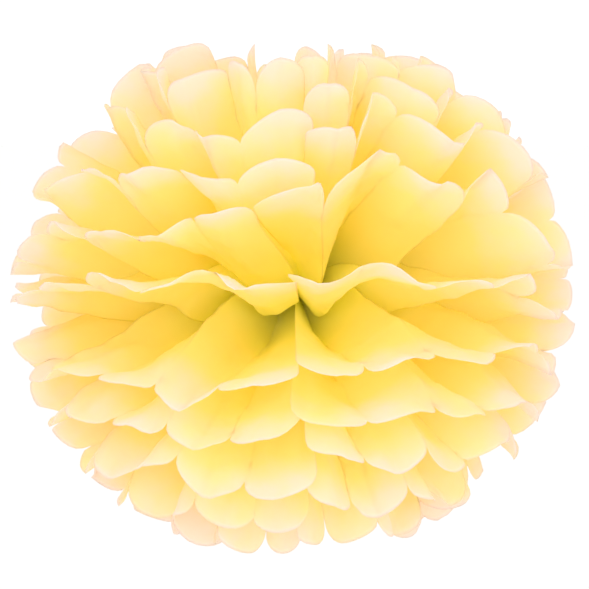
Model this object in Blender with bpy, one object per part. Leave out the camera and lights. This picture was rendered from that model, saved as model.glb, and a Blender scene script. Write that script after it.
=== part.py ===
"""Tissue paper pom pom, 35 cm across: ten pleated tissue sheets tied at the middle by one wire.

The sheets are laid in one pile, folded together like an accordion, tied round the middle,
cut round at both ends, fanned out into two half circles and pulled apart one by one.
The folds run from left to right through the tie (X), the pile of folds runs front to
back (Y), and the pom pom hangs with its shorter axis upright (Z). The origin is the
middle of the tie.
"""
import math

import bpy
import numpy as np

# Sheets, in metres
SHEET_WIDTH = 0.500         # across the folds
SHEET_LENGTH = 0.350        # along the folds
PANELS = 12                 # accordion panels across the sheet
PANEL_WIDTH = SHEET_WIDTH / PANELS
TISSUE_WALL = 0.00006       # a tissue sheet, with the air that clings to it
NOTCH_DEPTH = 0.015         # the ends are cut round, this much shorter at each fold

# The tied middle, in metres
BUNCH_WIDTH = 0.0144        # front to back, over all the folds
BUNCH_PLEAT = 0.0050        # height of one crushed pleat
BUNCH_LAYER = 0.0006        # from one sheet to the next, upright
BUNCH_ROUNDING = 0.35       # how much thinner the bunch is at its front and back edges
TIE_RUN = 0.0016            # straight run of a fold, each side of the middle
TURN_RADIUS = 0.0004        # of the outermost fold as it turns round the wire

# The fans
FAN_SPAN = math.radians(180.4)
BEND_END = 0.030            # a sheet reaches its full slope this far out
GATHER_END = 0.062          # a pleat reaches its full width this far out
TWIST_END = 0.150           # a sheet's sideways shift is complete this far out
CURL_START = 0.105          # the petals curl beyond this
RELAXED = 0.18              # how far the pleats have eased open towards the tips
EDGE_DROP = {"left": 1.15, "right": 0.85}   # the free edges lie flat, left ones a little lower

# Height of the petals in degrees above the level: a sheet's usual one, how much its tips
# curl further, the sideways shift of its petals, and the petals that were pulled to
# another height, or height and side. Petals count from the front seam, left ones with a
# minus sign; -1.5 is the fold between the first and the second petal on the left.
SHEETS = {
    "sheet_01": (65, 12, 0, {-1: 69, -2: 63, -3: 58, -4: 57, -5: 63, -6: 67,
                             1: 69, 2: 66, 3: 65, 4: 65, 5: 58, 6: 60}),
    "sheet_02": (51, 8, 3, {-1: 51, -2: 41, -3: 44, -4: 44, -5: 50, -6: 54,
                            1: 56, 2: 55, 3: 50, 4: 50, 5: 44, 6: 44}),
    "sheet_03": (36, 4, 2, {-1: 36, -2: 29, -3: 34, -4: 32, -5: 30, -6: 27,
                            -11: 39, -12: 41,
                            1: 44, 2: 45, 3: 40, 4: 39, 5: 34, 6: 30}),
    "sheet_04": (22, 2, -5, {-0.5: (25, -5), -1: (23, -4), -1.5: (24, -1), -2: 16, -3: 16, -4: 18,
                             -5: 12, -6: 8, -7: 14, -11: 20, -12: 20,
                             0.5: (26, -4), 1: (28, 1), 1.5: (30, -3), 2: 34, 3: 27, 4: 24, 5: 18, 6: 12}),
    "sheet_05": (4, 0, -1, {-0.5: 10, -1: 10, -1.5: 13, -2: 8, -2.5: 5, -3: 6, -4: 7, -5: 2, -6: -5,
                            0.5: 10, 1: 10, 1.5: 13, 2: 9, 2.5: 6, 3: 7, 4: 4, 5: 2, 6: 1}),
    "sheet_06": (-9, 0, 0, {-1: -10, -2: -18, -3: -17, -4: -10, -5: -12, -6: -17,
                            1: -10, 2: -8, 3: -7, 4: -9}),
    "sheet_07": (-20, -2, 1, {-1: -20, -2: -28, -3: -27, -4: -23, -5: -24, -6: -28,
                              1: -21, 2: -20, 3: -19, 4: -19}),
    "sheet_08": (-33, -4, 2, {-1: -34, -2: -38, -3: -37, -4: -35, -5: -35, -6: -38,
                              1: -33, 2: -33, 3: -33, 4: -30, 5: -28, 6: -28}),
    "sheet_09": (-48, -7, 2, {-1: -48, -2: -49, -3: -50, -4: -48, -5: -47, -6: -47,
                              1: -46, 2: -48, 3: -49, 4: -47, 5: -51, 6: -54}),
    "sheet_10": (-64, -12, 0, {-1: -65, -2: -63, -3: -66, -4: -63, -5: -61, -6: -60,
                               1: -63, 2: -61, 3: -62, 4: -61, 5: -64}),
}
LOOSENESS = 1.5             # degrees that the other petals stray by
SWAY = 2.0                  # degrees that they stray sideways
TUG = 7.0                   # degrees that a handful of neighbours were pulled up or down together

# The wire
WIRE_DIAMETER = 0.0010
WIRE_GAP = 0.0003           # clearance between the wire and the paper
WIRE_LAP = 0.0008           # sideways shift of the two ends, which pass under the bunch
TWIST_RADIUS = 0.00065
TWIST_PITCH = 0.0070
TWIST_TURNS = 1.5
EYE_RADIUS = 0.0028

TISSUE_COLOUR = (0.94, 0.79, 0.30, 1.0)
WIRE_COLOUR = (0.42, 0.43, 0.44, 1.0)

ROWS = (0.0, 0.002, 0.005, 0.010, 0.019, 0.034, 0.060, 0.090, 0.123)
LOBE_POINTS = (0.18, 0.5, 0.82)
TIP = SHEET_LENGTH / 2
NOTCH = TIP - NOTCH_DEPTH


def smooth(x):
    x = np.clip(x, 0.0, 1.0)
    return x * x * (3 - 2 * x)


def crossing(u):
    """Where line u of the fan stands in the pile of folds: front edge -1, back edge 1."""
    return 2 * u / PANELS - 1


def taper(u):
    return 1 - BUNCH_ROUNDING * crossing(u) ** 4


def plan(u, out):
    """A fold seen from above, `out` metres from the middle: through the tie, round, straight."""
    heading = crossing(u) * FAN_SPAN / 2
    side = np.sign(heading)
    start = crossing(u) * BUNCH_WIDTH / 2
    radius = TURN_RADIUS + BUNCH_WIDTH / 2 - abs(start)
    turned = np.clip((out - TIE_RUN) / radius, 0.0, abs(heading))
    beyond = np.maximum(out - TIE_RUN - radius * abs(heading), 0.0)
    x = np.minimum(out, TIE_RUN) + radius * np.sin(turned) + beyond * math.cos(heading)
    y = start + side * (radius * (1 - np.cos(turned)) + beyond * abs(math.sin(heading)))
    return x, y, side * turned


def tug(half, petal, slope):
    """How far the petals round this place were pulled up or down together, in degrees."""
    handfuls = np.random.default_rng(7 if half == "right" else 8).uniform(-1, 1, (PANELS + 1, 6))
    height = np.clip((slope + 90) / 36, 0, 5)
    pull = np.interp(height, range(6), handfuls[petal])
    return TUG * pull * (1 if petal > 3 or abs(slope) > 30 else 0.3)


def pulled_petals(name, half):
    """How one half of a sheet was pulled: places along the fan, slopes and sideways moves in radians."""
    usual, _, _, pulled = SHEETS[name]
    dice = np.random.default_rng(20 * list(SHEETS).index(name) + (half == "left"))
    pulls = {}
    for petal in range(1, PANELS + 1):
        pulls[petal] = (usual + dice.uniform(-LOOSENESS, LOOSENESS), dice.uniform(-SWAY, SWAY))
    for key, pull in pulled.items():
        if (key > 0) == (half == "right"):
            own_sway = pulls.get(abs(key), (0, 0))[1]
            pulls[abs(key)] = pull if isinstance(pull, tuple) else (pull, own_sway)
    places = sorted(pulls)
    lifts = np.radians([pulls[place][0] + tug(half, math.ceil(place), pulls[place][0]) for place in places])
    sways = np.radians([pulls[place][1] for place in places])
    return np.array(places) - 0.5, lifts, sways


def slope_profile(lift, curl, length):
    """How far out and how high a fold line is at `length` along it, and its slope there."""
    steps = np.linspace(0.0, TIP, 351)
    slope = lift * smooth((steps - TIE_RUN) / (BEND_END - TIE_RUN))
    slope = slope + curl * np.clip((steps - CURL_START) / (TIP - CURL_START), 0, 1) ** 2
    middle = (slope[1:] + slope[:-1]) / 2
    step = steps[1] - steps[0]
    out = np.concatenate([[0.0], np.cumsum(np.cos(middle)) * step])
    up = np.concatenate([[0.0], np.cumsum(np.sin(middle)) * step])
    return np.interp(length, steps, out), np.interp(length, steps, up), np.interp(length, steps, slope)


def sheet_point(name, pulls, u, length, half):
    """One point of a sheet and the way its thickness is laid on, at line u of a half fan."""
    number = list(SHEETS).index(name)
    _, curl, shift, _ = SHEETS[name]
    places, lifts, sways = pulls
    lift = np.interp(u, places, lifts)
    out, up, slope = slope_profile(lift, math.radians(curl), length)
    x, y, heading = plan(u, out)

    spacing = BUNCH_WIDTH / PANELS + FAN_SPAN / PANELS * max(out - TIE_RUN - TURN_RADIUS, 0.0)
    full = math.sqrt(max(PANEL_WIDTH ** 2 - spacing ** 2, 0.008 ** 2))
    pinched = BUNCH_PLEAT * taper(u)
    pleat = pinched + (full - pinched) * smooth(length / GATHER_END)
    pleat *= 1 - RELAXED * smooth((length - 0.05) / 0.08)
    nearest = round(u)
    zigzag = (1 if nearest % 2 == 0 else -1) * (1 - 2 * abs(u - nearest))
    zigzag -= EDGE_DROP[half] * (max(1 - u, 0.0) + max(u - PANELS + 1, 0.0))
    layer = ((len(SHEETS) - 1) / 2 - number) * BUNCH_LAYER * taper(u)
    rise = zigzag * pleat / 2 + layer

    normal = np.array([-math.sin(slope) * math.cos(heading), -math.sin(slope) * math.sin(heading),
                       math.cos(slope)])
    point = np.array([x, y, up]) + normal * rise
    wall = normal * TISSUE_WALL / 2 * math.hypot(pleat, spacing) / spacing
    if half == "left":
        point[0], wall[0] = -point[0], -wall[0]
    turn = math.radians(shift) * smooth(length / TWIST_END)
    turn += np.interp(u, places, sways) * smooth((length - 0.05) / 0.10)
    spin = np.array([[math.cos(turn), -math.sin(turn), 0], [math.sin(turn), math.cos(turn), 0], [0, 0, 1]])
    return spin @ point, spin @ wall


def sheet_mesh(name):
    """The closed shell of one sheet: a grid of fold lines, with a round lobe on each panel end."""
    corners, grid, lobes = [], {}, {}

    def add(half, pulls, u, length):
        point, wall = sheet_point(name, pulls, u, length, half)
        corners.append((point + wall, point - wall))
        return len(corners) - 1

    for half, sign in (("left", -1), ("right", 1)):
        pulls = pulled_petals(name, half)
        for fold in range(PANELS + 1):
            for row, length in enumerate(ROWS + (NOTCH,)):
                if (fold, 0) in grid and row == 0:
                    continue
                grid[fold, sign * row] = add(half, pulls, fold, length)
        for panel in range(PANELS):
            lobes[panel, sign] = []
            for v in LOBE_POINTS:
                length = NOTCH + NOTCH_DEPTH * math.sqrt(1 - (2 * v - 1) ** 2)
                lobes[panel, sign].append(add(half, pulls, panel + v, length))

    top, last = [], len(ROWS)
    for panel in range(PANELS):
        for row in range(-last, last):
            a, b = grid[panel, row], grid[panel, row + 1]
            c, d = grid[panel + 1, row + 1], grid[panel + 1, row]
            top += [(a, b, c), (a, c, d)] if row >= 0 else [(a, b, d), (b, c, d)]
        for sign in (-1, 1):
            rim = [grid[panel, sign * last]] + lobes[panel, sign] + [grid[panel + 1, sign * last]]
            fan = [(rim[0], rim[1], rim[4]), (rim[1], rim[3], rim[4]), (rim[1], rim[2], rim[3])]
            top += fan if sign > 0 else [face[::-1] for face in fan]

    outline = [grid[0, row] for row in range(-last, last)]
    for panel in range(PANELS):
        outline += [grid[panel, last]] + lobes[panel, 1]
    outline += [grid[PANELS, row] for row in range(last, -last, -1)]
    for panel in reversed(range(PANELS)):
        outline += [grid[panel + 1, -last]] + lobes[panel, -1][::-1]

    points = [upper for upper, _ in corners] + [lower for _, lower in corners]
    count = len(corners)
    faces = top + [tuple(i + count for i in reversed(face)) for face in top]
    for a, b in zip(outline, outline[1:] + outline[:1]):
        faces += [(b, a, a + count), (b, a + count, b + count)]
    return points, faces


def tissue_sheet(name, material):
    points, faces = sheet_mesh(name)
    mesh = bpy.data.meshes.new(name)
    mesh.from_pydata([tuple(p) for p in points], [], faces)
    mesh.materials.append(material)
    sheet = bpy.data.objects.new(name, mesh)
    bpy.context.collection.objects.link(sheet)
    return sheet


def wire_route():
    """One length of wire: half round the bunch, up a twist, through an eye, and back again."""
    half_width = BUNCH_WIDTH / 2 + WIRE_GAP + WIRE_DIAMETER * 0.9
    half_height = (BUNCH_PLEAT + (len(SHEETS) - 1) * BUNCH_LAYER) / 2 + WIRE_GAP + WIRE_DIAMETER * 0.7
    ring = []
    for step in range(15):
        angle = math.radians(-120 + step * 200 / 14)      # from under the bunch round to its top
        bulge = (abs(math.cos(angle)) ** 4 + abs(math.sin(angle)) ** 4) ** -0.25
        lap = WIRE_LAP * (1 - smooth((step - 5) / 4))
        ring.append((lap, half_width * math.cos(angle) * bulge, half_height * math.sin(angle) * bulge))
    ring = [point for point in ring if point[2] < 0 or abs(point[1]) > 2 * TWIST_RADIUS]

    twist, steps = [], int(TWIST_TURNS * 10)
    base = half_height + 0.0010
    for step in range(steps + 1):
        angle = 2 * math.pi * TWIST_TURNS * step / steps + math.pi / 2
        twist.append((TWIST_RADIUS * math.cos(angle), TWIST_RADIUS * math.sin(angle),
                      base + TWIST_PITCH * TWIST_TURNS * step / steps))

    top = base + TWIST_PITCH * TWIST_TURNS
    middle = top + EYE_RADIUS + 0.0006
    side = math.copysign(1, twist[-1][1])
    eye = []
    for step in range(9):
        angle = math.radians(-60 + 150 * step / 8)
        eye.append((0.0, side * EYE_RADIUS * math.cos(angle), middle + EYE_RADIUS * math.sin(angle)))
    leg = ring + twist + eye
    # The other leg is the same one turned half round the upright axis
    return leg + [(-x, -y, z) for x, y, z in reversed(leg[:-1])]


def tie_wire(material):
    curve = bpy.data.curves.new("tie_wire", "CURVE")
    curve.dimensions = "3D"
    route = wire_route()
    spline = curve.splines.new("POLY")
    spline.points.add(len(route) - 1)
    for point, place in zip(spline.points, route):
        point.co = (*place, 1.0)
    curve.bevel_depth = WIRE_DIAMETER / 2
    curve.bevel_resolution = 2
    curve.use_fill_caps = True
    curve.materials.append(material)
    wire = bpy.data.objects.new("tie_wire", curve)
    bpy.context.collection.objects.link(wire)
    return wire


def finish(name, colour, roughness, metallic):
    material = bpy.data.materials.new(name)
    material.use_nodes = True
    shader = material.node_tree.nodes["Principled BSDF"]
    shader.inputs["Base Color"].default_value = colour
    shader.inputs["Roughness"].default_value = roughness
    shader.inputs["Metallic"].default_value = metallic
    return material


for old in list(bpy.data.objects):
    bpy.data.objects.remove(old, do_unlink=True)

for sheet_name in SHEETS:
    tissue_sheet(sheet_name, finish(sheet_name + "_tissue", TISSUE_COLOUR, 0.75, 0.0))
tie_wire(finish("tie_wire_steel", WIRE_COLOUR, 0.40, 1.0))
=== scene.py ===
import math

import bpy
import numpy as np
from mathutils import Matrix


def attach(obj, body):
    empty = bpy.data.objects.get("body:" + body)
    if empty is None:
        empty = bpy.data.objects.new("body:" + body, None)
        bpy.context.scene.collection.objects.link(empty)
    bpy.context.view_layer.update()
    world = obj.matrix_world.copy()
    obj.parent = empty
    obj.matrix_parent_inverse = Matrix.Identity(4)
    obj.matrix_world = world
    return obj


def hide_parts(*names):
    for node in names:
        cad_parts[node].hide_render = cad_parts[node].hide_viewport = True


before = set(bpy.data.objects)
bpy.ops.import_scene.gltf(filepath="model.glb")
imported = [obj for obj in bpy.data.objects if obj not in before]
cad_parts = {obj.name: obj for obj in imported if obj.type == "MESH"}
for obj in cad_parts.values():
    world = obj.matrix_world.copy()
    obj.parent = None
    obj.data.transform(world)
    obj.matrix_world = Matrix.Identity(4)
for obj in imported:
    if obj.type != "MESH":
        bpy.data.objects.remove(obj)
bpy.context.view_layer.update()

# ---------------------------------------------------------------------------
# Ten tissue sheets. Each is one half sheet of 18 gram tissue, 50 x 35 cm,
# folded into twelve accordion panels together with the others, tied across the
# middle, cut round at both ends, fanned out and pulled up or down by hand.
# ---------------------------------------------------------------------------
SHEET_WIDTH, SHEET_LENGTH = 0.500, 0.350
PANELS = 12
PANEL_WIDTH = SHEET_WIDTH / PANELS
TISSUE_WALL = 0.00006       # tissue with the air that clings to it
TIP = SHEET_LENGTH / 2      # from the tie to the tip of a petal

NOTCH_DEPTH = 0.015         # the ends are cut round, about this much shorter at each fold
NOTCH_SPREAD = 0.4          # share of its depth that a notch strays by
CUT_SPREAD = 0.002          # how far a petal's tip strays along the sheet
ROUNDNESS = 2.1             # of a cut end: 2 is half an ellipse, and more is squarer

BUNCH_WIDTH = 0.0144        # the tied middle, front to back over all the folds
BUNCH_PLEAT = 0.0050        # height of one crushed pleat in the tie
BUNCH_LAYER = 0.0006        # from one sheet to the next in the tie
BUNCH_ROUNDING = 0.35       # share that the bunch is thinner by at its front and back
TIE_RUN = 0.0016            # a sheet runs straight this far before it turns round the wire
TURN_RADIUS = 0.0004        # the sharpest of those turns
FAN_SPAN = math.radians(181.2)
BEND_END = 0.030            # a sheet reaches its slope this far out
GATHER_END = 0.062          # a pleat reaches its full width this far out
LEAST_PLEAT = 0.008         # depth that a pleat keeps where the fan opens it widest
RELAXED = 0.18              # how far the pleats have eased open towards the tips
TWIST_END = 0.150           # a sheet reaches its sideways shift this far out
CURL_START = 0.105          # the petals curl on from here to the tips
SEAM_LAP = 0.0055           # the left half's free edges pass under the right half's
EDGE_DROP = {"left": 1.35, "right": 0.85}   # how far the free edges lie below a fold, in half pleats

# A sheet's usual petal height in degrees, how far its tips curl on, the sideways
# shift of its petals, and the petals that were pulled to another height, or height
# and side. Petals count from the front seam, left ones with a minus sign; -1.5 is
# the fold between the first and the second petal on the left.
SHEETS = {
    "sheet_01": (65, 12, 0, {
        -1: 69, -2: 63, -3: 58, -4: 57, -5: 63, -6: 67,
        1: 69, 2: 66, 3: 65, 4: 65, 5: 58, 6: 60}),
    "sheet_02": (51, 8, 3, {
        -1: 51, -2: 41, -3: 44, -4: 44, -5: 50, -6: 54,
        1: 56, 2: 55, 3: 50, 4: 50, 5: 44, 6: 44}),
    "sheet_03": (36, 4, 2, {
        -1: 36, -2: 29, -3: 34, -4: 32, -5: 30, -6: 27, -11: 39, -12: 41,
        1: 44, 2: 45, 3: 40, 4: 39, 5: 34, 6: 30}),
    "sheet_04": (22, 2, -5, {
        -0.5: (25, -5), -1: (23, -4), -1.5: (24, -1), -2: 16, -3: 16, -4: 18, -5: 12, -6: 8,
        -7: 14, -11: 20, -12: 20,
        0.5: (26, -4), 1: (28, 1), 1.5: (30, -3), 2: 34, 3: 27, 4: 24, 5: 18, 6: 12}),
    "sheet_05": (4, 0, -1, {
        -0.5: 10, -1: 10, -1.5: 13, -2: 8, -2.5: 5, -3: 6, -4: 7, -5: 2, -6: -5,
        0.5: 10, 1: 10, 1.5: 13, 2: 9, 2.5: 6, 3: 7, 4: 4, 5: 2, 6: 1}),
    "sheet_06": (-9, 0, 0, {
        -1: -10, -2: -18, -3: -17, -4: -10, -5: -12, -6: -17,
        1: -10, 2: -8, 3: -7, 4: -9}),
    "sheet_07": (-20, -2, 1, {
        -1: -20, -2: -28, -3: -27, -4: -23, -5: -24, -6: -28,
        1: -21, 2: -20, 3: -19, 4: -19}),
    "sheet_08": (-33, -4, 2, {
        -1: -34, -2: -38, -3: -37, -4: -35, -5: -35, -6: -38,
        1: -33, 2: -33, 3: -33, 4: -30, 5: -28, 6: -28}),
    "sheet_09": (-48, -7, 2, {
        -1: -48, -2: -49, -3: -50, -4: -48, -5: -47, -6: -47,
        1: -46, 2: -48, 3: -49, 4: -47, 5: -51, 6: -54}),
    "sheet_10": (-64, -12, 0, {
        -1: -65, -2: -63, -3: -66, -4: -63, -5: -61, -6: -60,
        1: -63, 2: -61, 3: -62, 4: -61, 5: -64}),
}
LOOSENESS = 1.5             # degrees that the other petals stray by
SWAY = 2.0                  # degrees that they stray sideways
TUG = 7.0                   # degrees that a handful of neighbours were pulled up or down together
PETAL_CURL = 9              # degrees that a petal's own curl strays by
PETAL_WAVE = 5              # degrees that a petal waves up and down by on its way out
PETAL_BOW = 0.004           # how far a panel bows out between its two folds

CRUSH = 0.0011              # heights of the finer shapes: packed folds near the tie,
CRUMPLE = 0.0007            # small dents from handling,
FURROW = 0.0008             # long shallow furrows from the tie outwards,
RUFFLE = 0.0024             # and loose waves along the cut ends
CREASE_WIDTHS = (0.055, 0.046, 0.036, 0.030, 0.024, 0.018)

ACROSS = (0.0, 0.03, 0.09, 0.18, 0.28, 0.39, 0.5, 0.61, 0.72, 0.82, 0.91, 0.97)
ALONG = 80                  # rows from the tie to a petal's tip
CLOSER_ROWS = 1.25          # rows lie closer together near the tie
PATH_STEPS = 360            # steps that a line's path is added up in


def smooth(x):
    x = np.clip(x, 0.0, 1.0)
    return x * x * (3 - 2 * x)


def ease(x, start, end):
    """Nothing up to the start, all of it from the end on, and smooth in between."""
    return smooth((x - start) / (end - start))


def crossing(u):
    """Where line u of the fan stands in the pile of folds: front edge -1, back edge 1."""
    return 2 * u / PANELS - 1


def plan(u, out):
    """A line of the fan seen from above: through the tie, round the wire, then straight."""
    heading = crossing(u) * FAN_SPAN / 2
    start = crossing(u) * BUNCH_WIDTH / 2
    radius = TURN_RADIUS + BUNCH_WIDTH / 2 - abs(start)
    turned = np.clip((out - TIE_RUN) / radius, 0.0, abs(heading))
    beyond = np.maximum(out - TIE_RUN - radius * abs(heading), 0.0)
    x = np.minimum(out, TIE_RUN) + radius * np.sin(turned) + beyond * np.cos(heading)
    y = start + np.sign(heading) * (radius * (1 - np.cos(turned)) + beyond * abs(np.sin(heading)))
    return x, y, np.sign(heading) * turned


def ripple(dice, x, y):
    """Soft random waves between -1 and 1, one per unit of x and of y."""
    x, y = x - x.min(), y - y.min()
    lattice = dice.uniform(-1, 1, (int(x.max()) + 2, int(y.max()) + 2))
    i, j = x.astype(int), y.astype(int)
    a, b = smooth(x - i), smooth(y - j)
    low = lattice[i, j] * (1 - a) + lattice[i + 1, j] * a
    high = lattice[i, j + 1] * (1 - a) + lattice[i + 1, j + 1] * a
    return low * (1 - b) + high * b


def tug(half, petal, slope):
    """How far the petals round this place were pulled up or down together, in degrees."""
    handfuls = np.random.default_rng(7 if half == "right" else 8).uniform(-1, 1, (PANELS + 1, 6))
    height = np.clip((slope + 90) / 36, 0, 5)
    pull = np.interp(height, range(6), handfuls[petal])
    return TUG * pull * (1 if petal > 3 or abs(slope) > 30 else 0.3)


def pulled_petals(name, half):
    """How half a sheet was pulled: places along the fan, slopes and sideways moves in radians."""
    usual, _, _, pulled = SHEETS[name]
    dice = np.random.default_rng(20 * list(SHEETS).index(name) + (half == "left"))
    pulls = {}
    for petal in range(1, PANELS + 1):
        pulls[petal] = (usual + dice.uniform(-LOOSENESS, LOOSENESS), dice.uniform(-SWAY, SWAY))
    for key, pull in pulled.items():
        if (key > 0) == (half == "right"):
            own_sway = pulls.get(abs(key), (0, 0))[1]
            pulls[abs(key)] = pull if isinstance(pull, tuple) else (pull, own_sway)
    places = sorted(pulls)
    lifts = [pulls[place][0] + tug(half, math.ceil(place), pulls[place][0]) for place in places]
    sways = [pulls[place][1] for place in places]
    return np.array(places) - 0.5, np.radians(lifts), np.radians(sways)


def cut_ends(dice, u, v, panel):
    """How far from the tie each line of a half sheet is cut off."""
    trim = dice.uniform(-CUT_SPREAD, CUT_SPREAD, PANELS)[panel] * np.sin(math.pi * v)
    notches = dice.uniform(1 - NOTCH_SPREAD, 1 + NOTCH_SPREAD, PANELS + 1)
    depth = np.interp(u, np.arange(PANELS + 1), notches) * NOTCH_DEPTH
    lobe = np.clip(1 - abs(2 * v - 1) ** ROUNDNESS, 0, 1) ** (1 / ROUNDNESS)
    return TIP - depth * (1 - lobe) + trim


def paths(dice, u, length, lift, curl):
    """How far out and up the points of each line lie, and how steep it is there."""
    free = 0.35 + 0.65 * ease(u, 1, 3)                  # the front petals were set with more care
    strays = dice.uniform(-PETAL_CURL, PETAL_CURL, PANELS)
    own_curl = np.radians(curl + np.interp(u, np.arange(PANELS) + 0.5, strays) * free)
    steps = np.linspace(0.0, TIP + 2 * CUT_SPREAD, PATH_STEPS)[:, None]
    slope = lift * ease(steps, TIE_RUN, BEND_END)
    slope = slope + own_curl * np.clip((steps - CURL_START) / (TIP - CURL_START), 0, 1) ** 2
    wave = math.radians(PETAL_WAVE) * ripple(dice, u / 1.3, steps / 0.05)
    slope = slope + wave * free * ease(steps, 0.03, 0.08)

    step = steps[1, 0] - steps[0, 0]
    middle = (slope[1:] + slope[:-1]) / 2
    start = np.zeros((1, len(u)))
    outward = np.vstack([start, np.cumsum(np.cos(middle), axis=0) * step])
    upward = np.vstack([start, np.cumsum(np.sin(middle), axis=0) * step])
    out, up, tilt = (np.empty(length.shape) for _ in range(3))
    for line in range(len(u)):
        out[:, line] = np.interp(length[:, line], steps[:, 0], outward[:, line])
        up[:, line] = np.interp(length[:, line], steps[:, 0], upward[:, line])
        tilt[:, line] = np.interp(length[:, line], steps[:, 0], slope[:, line])
    return out, up, tilt


def bunch_taper(u):
    """The tied bunch is round: it thins towards its front and back folds."""
    return 1 - BUNCH_ROUNDING * crossing(u) ** 4


def pleat_depth(u, length, out):
    """Depth of the pleats: crushed in the tie, then as deep as the width of a panel allows."""
    spacing = BUNCH_WIDTH / PANELS + FAN_SPAN / PANELS * np.maximum(out - TIE_RUN - TURN_RADIUS, 0)
    full = np.sqrt(np.maximum(PANEL_WIDTH ** 2 - spacing ** 2, LEAST_PLEAT ** 2))
    crushed = BUNCH_PLEAT * bunch_taper(u)
    depth = crushed + (full - crushed) * ease(length, 0, GATHER_END)
    return depth * (1 - RELAXED * ease(length, 0.05, 0.13))


def creases(dice, x, y):
    """Sharp shallow creases in all directions, left by handling; x and y in metres on the sheet."""
    rise = 0 * x
    for width in CREASE_WIDTHS:
        way = dice.uniform(0, math.pi)
        place = (x * math.cos(way) + y * math.sin(way)) / width
        place = place + 0.35 * ripple(dice, x / 0.05, y / 0.05) + dice.uniform(0, 1)
        rise = rise + width * dice.uniform(0.05, 0.08) * (abs(place - np.floor(place) - 0.5) - 0.25)
    return rise


def handling(dice, u, length):
    """How the paper is crushed, creased and ruffled, as a height off its smooth folds."""
    crush = CRUSH * ripple(dice, u * 9, length / 0.035) * ease(length, 0, 0.04)
    crush = crush * (1 - 0.75 * ease(length, 0.04, 0.13))
    crumple = creases(dice, u * PANEL_WIDTH, length) + CRUMPLE * ripple(dice, u * 5, length / 0.009)
    crumple = crumple * ease(length, 0.03, 0.09)
    furrows = FURROW * ripple(dice, u * 5, length / 0.09) * ease(length, 0.02, 0.07)
    ruffle = RUFFLE * ripple(dice, u * 3.1, length / 0.035) * ease(length, 0.11, 0.17)
    return crush + furrows + ruffle + crumple


def half_sheet(name, half):
    """Points of one half fan, as rows from the tie outwards, and where they lie on the flat sheet."""
    number = list(SHEETS).index(name)
    _, curl, shift, _ = SHEETS[name]
    dice = np.random.default_rng(100 * number + (half == "left"))

    # Lines along the sheet: u counts panels across it, and v runs from fold to fold
    u = np.append(np.add.outer(np.arange(PANELS), ACROSS).ravel(), PANELS)
    panel = np.minimum(u.astype(int), PANELS - 1)
    v = u - panel
    length = np.linspace(0, 1, ALONG + 1)[:, None] ** CLOSER_ROWS * cut_ends(dice, u, v, panel)
    places, lifts, sways = pulled_petals(name, half)
    out, up, tilt = paths(dice, u, length, np.interp(u, places, lifts), curl)

    # Height off the path: the folds zigzag, and the free edges drop to lie flat in the seam
    nearest = np.round(u)
    zigzag = np.where(nearest % 2 == 0, 1, -1) * (1 - 2 * abs(u - nearest))
    edge = np.maximum(1 - u, 0) + np.maximum(u - PANELS + 1, 0)
    zigzag = zigzag - EDGE_DROP[half] * edge
    layer = ((len(SHEETS) - 1) / 2 - number) * BUNCH_LAYER * bunch_taper(u)
    bow = dice.uniform(-PETAL_BOW, PETAL_BOW, PANELS)[panel] * np.sin(math.pi * v)
    bow = bow * ease(length, 0.03, 0.12)
    rise = zigzag * pleat_depth(u, length, out) / 2 + layer + bow
    rise = rise + handling(dice, u, length) * (1 - 0.8 * edge)

    x, y, heading = plan(u, out)
    x = x - np.sin(tilt) * np.cos(heading) * rise
    y = y - np.sin(tilt) * np.sin(heading) * rise
    z = up + np.cos(tilt) * rise
    if half == "left":
        x = SEAM_LAP * edge * ease(length, 0.005, 0.013) - x
    turn = math.radians(shift) * ease(length, 0, TWIST_END)
    turn = turn + np.interp(u, places, sways) * ease(length, 0.05, 0.15)
    points = np.stack([x * np.cos(turn) - y * np.sin(turn), x * np.sin(turn) + y * np.cos(turn), z], axis=-1)
    flat = np.broadcast_arrays(u * PANEL_WIDTH, length if half == "right" else -length)
    return points, np.stack(flat, axis=-1)


def tissue_sheet(name, tissue):
    """One whole sheet: both halves joined through the tie, given the tissue's thickness."""
    left, left_flat = half_sheet(name, "left")
    right, right_flat = half_sheet(name, "right")
    points = np.concatenate([left[:0:-1], right])
    flat = np.concatenate([left_flat[:0:-1], right_flat])
    rows, columns = points.shape[:2]
    index = np.arange(rows * columns).reshape(rows, columns)
    corners = [index[:-1, :-1], index[1:, :-1], index[1:, 1:], index[:-1, 1:]]
    faces = np.stack(corners, axis=-1).reshape(-1, 4)
    mesh = bpy.data.meshes.new(name + "_tissue")
    mesh.from_pydata(points.reshape(-1, 3).tolist(), [], faces.tolist())
    flat_sheet = mesh.uv_layers.new(name="flat_sheet")
    flat_sheet.data.foreach_set("uv", flat.reshape(-1, 2)[faces.ravel()].ravel())
    mesh.shade_smooth()
    mesh.materials.append(tissue)
    sheet = bpy.data.objects.new(name + "_tissue", mesh)
    bpy.context.collection.objects.link(sheet)
    bpy.ops.object.select_all(action="DESELECT")
    bpy.context.view_layer.objects.active = sheet
    wall = sheet.modifiers.new("wall", "SOLIDIFY")
    wall.thickness = TISSUE_WALL
    wall.offset = 0
    bpy.ops.object.modifier_apply(modifier="wall")
    return sheet


def linear(hex_colour):
    """An sRGB hex colour as the linear values that shaders read."""
    parts = [int(hex_colour[i:i + 2], 16) / 255 for i in (1, 3, 5)]
    return [p / 12.92 if p <= 0.04045 else ((p + 0.055) / 1.055) ** 2.4 for p in parts] + [1.0]


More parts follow.
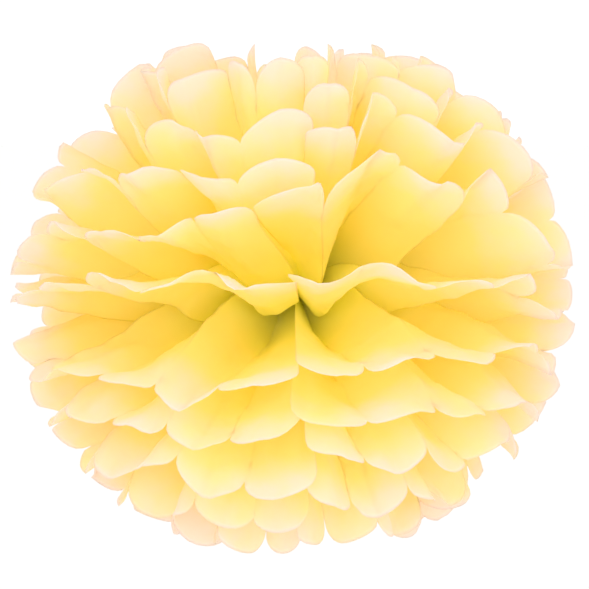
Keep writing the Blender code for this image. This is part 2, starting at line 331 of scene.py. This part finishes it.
def add(tree, kind, settings=None, **links):
    """Adds a node: settings by attribute or socket name, links by socket name."""
    node = tree.nodes.new(kind)
    for key, value in (settings or {}).items():
        if key in node.inputs:
            node.inputs[key].default_value = value
        else:
            setattr(node, key, value)
    for key, source in links.items():
        tree.links.new(source, node.inputs[key.replace("_", " ")])
    return node


# Wood pulp tissue, dyed yellow in the pulp and pressed smooth on one side. It is matt and so
# thin that light comes through it from sheet to sheet: the depths glow instead of going dark,
# and they are a fuller yellow than the open ends, where each petal stands single. On top of
# the yellow dye, light is painted into the colour: paler near the tie, as painted light that lifts
# the shade in the depths, and peach white at the tips, as a painted highlight.
DYE_PATCH = 0.040           # the dye drifts a little over patches of this size
FIBRE = 0.0011              # clumps of fibre; single fibres are too fine to show
FIBRE_HEIGHT = 0.0003
LIGHT_THROUGH = 0.78        # share of the light that goes on through the sheet
# Yellow dye with painted light: paler at the tie to lift the shade in the depths, peach white at the tips as
# a painted highlight
DYE_AND_PAINTED_LIGHT = ((0.0, "#FFFFDA"), (0.45, "#FFFECA"), (0.80, "#FFF8C5"), (1.0, "#FFF5EE"))


def tissue_paper():
    tissue = bpy.data.materials.new("dyed_tissue_paper")
    tissue.use_nodes = True
    tree = tissue.node_tree
    tree.nodes.clear()

    # The colour by the distance from the tie, measured on the flat sheet, with a slow drift of dye tone:
    # painted light, paler near the tie and peach white at the tips
    flat = add(tree, "ShaderNodeUVMap", {"uv_map": "flat_sheet"})
    along = add(tree, "ShaderNodeSeparateXYZ", Vector=flat.outputs["UV"])
    outward = add(tree, "ShaderNodeMath", {"operation": "ABSOLUTE"})
    tree.links.new(along.outputs["Y"], outward.inputs[0])
    place = add(tree, "ShaderNodeTexCoord")
    patch = {"Scale": 1 / DYE_PATCH, "Detail": 3.0}
    patches = add(tree, "ShaderNodeTexNoise", patch, Vector=place.outputs["Object"])
    drift = add(tree, "ShaderNodeMath", {"operation": "MULTIPLY_ADD"})
    tree.links.new(patches.outputs["Fac"], drift.inputs[0])
    drift.inputs[1].default_value = 2 * DYE_PATCH
    tree.links.new(outward.outputs[0], drift.inputs[2])
    span = {"From Min": DYE_PATCH / 2, "From Max": TIP + DYE_PATCH}
    distance = add(tree, "ShaderNodeMapRange", span, Value=drift.outputs[0])
    dye_and_painted_light = add(tree, "ShaderNodeValToRGB", Fac=distance.outputs[0])
    dye_and_painted_light.color_ramp.elements[1].position = DYE_AND_PAINTED_LIGHT[1][0]
    for position, _ in DYE_AND_PAINTED_LIGHT[2:]:
        dye_and_painted_light.color_ramp.elements.new(position)
    for element, (_, colour) in zip(dye_and_painted_light.color_ramp.elements, DYE_AND_PAINTED_LIGHT):
        element.color = linear(colour)

    # The matt face, and the light that comes through it
    clumps = {"Scale": 1 / FIBRE, "Detail": 2.0}
    fibre = add(tree, "ShaderNodeTexNoise", clumps, Vector=place.outputs["Object"])
    relief = {"Strength": 0.15, "Distance": FIBRE_HEIGHT}
    bump = add(tree, "ShaderNodeBump", relief, Height=fibre.outputs["Fac"])
    matt = {"Roughness": 0.85, "Specular IOR Level": 0.15}
    face = add(tree, "ShaderNodeBsdfPrincipled", matt,
               Base_Color=dye_and_painted_light.outputs["Color"], Normal=bump.outputs[0])
    through = add(tree, "ShaderNodeBsdfTranslucent", Color=dye_and_painted_light.outputs["Color"])
    both = add(tree, "ShaderNodeMixShader", {"Fac": LIGHT_THROUGH})
    tree.links.new(face.outputs[0], both.inputs[1])
    tree.links.new(through.outputs[0], both.inputs[2])
    add(tree, "ShaderNodeOutputMaterial", Surface=both.outputs[0])
    return tissue


tissue = tissue_paper()
for name in SHEETS:
    sheet = tissue_sheet(name, tissue)
    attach(sheet, "root")
    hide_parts(name)

# ---------------------------------------------------------------------------
# The tie: one length of steel florist's wire, 1 mm thick. It is laid round the
# folded middle by hand, pulled tight and twisted, and its ends make a small eye.
# It shows as its own CAD node, which gets its steel here.
# ---------------------------------------------------------------------------
WIRE_THICKNESS = 0.0010

# Steel drawn through a die: bright, with fine marks that break up its shine
drawn = bpy.data.materials.new("drawn_steel_wire")
drawn.use_nodes = True
tree = drawn.node_tree
shader = tree.nodes["Principled BSDF"]
shader.inputs["Base Color"].default_value = linear("#B9BABD")
shader.inputs["Metallic"].default_value = 1.0
place = add(tree, "ShaderNodeTexCoord")
marks = {"Scale": 1.5 / WIRE_THICKNESS, "Detail": 2.0}
scratch = add(tree, "ShaderNodeTexNoise", marks, Vector=place.outputs["Object"])
rough = add(tree, "ShaderNodeMapRange", {"To Min": 0.28, "To Max": 0.45}, Value=scratch.outputs["Fac"])
tree.links.new(rough.outputs[0], shader.inputs["Roughness"])
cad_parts["tie_wire"].material_slots[0].material = drawn

# ---------------------------------------------------------------------------
# Pale floor, wide enough to reach the horizon from every side, soft studio light
# all round and two softboxes in front, and the camera.
# ---------------------------------------------------------------------------
FLOOR_DROP = 0.42           # the pom pom hangs this far above the floor
FLOOR_WIDTH = 24
bpy.ops.object.select_all(action="DESELECT")
bpy.ops.mesh.primitive_plane_add(size=FLOOR_WIDTH, location=(0, 0, -FLOOR_DROP))
floor = bpy.context.active_object
floor.name = "pale_floor"
pale = bpy.data.materials.new("pale_matt_floor")
pale.use_nodes = True
pale.node_tree.nodes["Principled BSDF"].inputs["Base Color"].default_value = linear("#F7F7F6")
pale.node_tree.nodes["Principled BSDF"].inputs["Roughness"].default_value = 0.9
floor.data.materials.append(pale)

world = bpy.data.worlds.new("studio")
world.use_nodes = True
world.node_tree.nodes["Background"].inputs["Color"].default_value = linear("#FFFFFF")
world.node_tree.nodes["Background"].inputs["Strength"].default_value = 1.08
bpy.context.scene.world = world


def softbox(name, place, size, power):
    """A square lamp that faces the pom pom, a little warmer than the room."""
    lamp = bpy.data.lights.new(name, "AREA")
    lamp.color = linear("#FFEFDD")[:3]
    lamp.shape = "SQUARE"
    lamp.size = size
    lamp.energy = power
    light = bpy.data.objects.new(name, lamp)
    light.location = place
    aim = -light.location
    light.rotation_euler = aim.to_track_quat("-Z", "Y").to_euler()
    bpy.context.collection.objects.link(light)


softbox("key", (-0.35, -1.9, 0.7), 1.2, 12)
softbox("fill", (0.9, -1.8, -0.1), 1.2, 9)

CAMERA_DISTANCE = 1.50
CAMERA_RISE = math.radians(6)
CAMERA_SHIFT = (0.001, -0.002)      # aside and up, which centres the pom pom in the picture
camera = bpy.data.objects.new("camera", bpy.data.cameras.new("camera"))
camera.data.lens = 146.7
camera.data.sensor_width = 36
camera.location = (CAMERA_SHIFT[0], -CAMERA_DISTANCE * math.cos(CAMERA_RISE),
                   CAMERA_DISTANCE * math.sin(CAMERA_RISE) + CAMERA_SHIFT[1])
camera.rotation_euler = (math.pi / 2 - CAMERA_RISE, 0, 0)
bpy.context.collection.objects.link(camera)
bpy.context.scene.camera = camera
bpy.context.scene.view_settings.view_transform = "Standard"
# Light has to pass through many layers of tissue before it is spent
bpy.context.scene.cycles.max_bounces = 40
bpy.context.scene.cycles.diffuse_bounces = 32
bpy.context.scene.cycles.transmission_bounces = 40
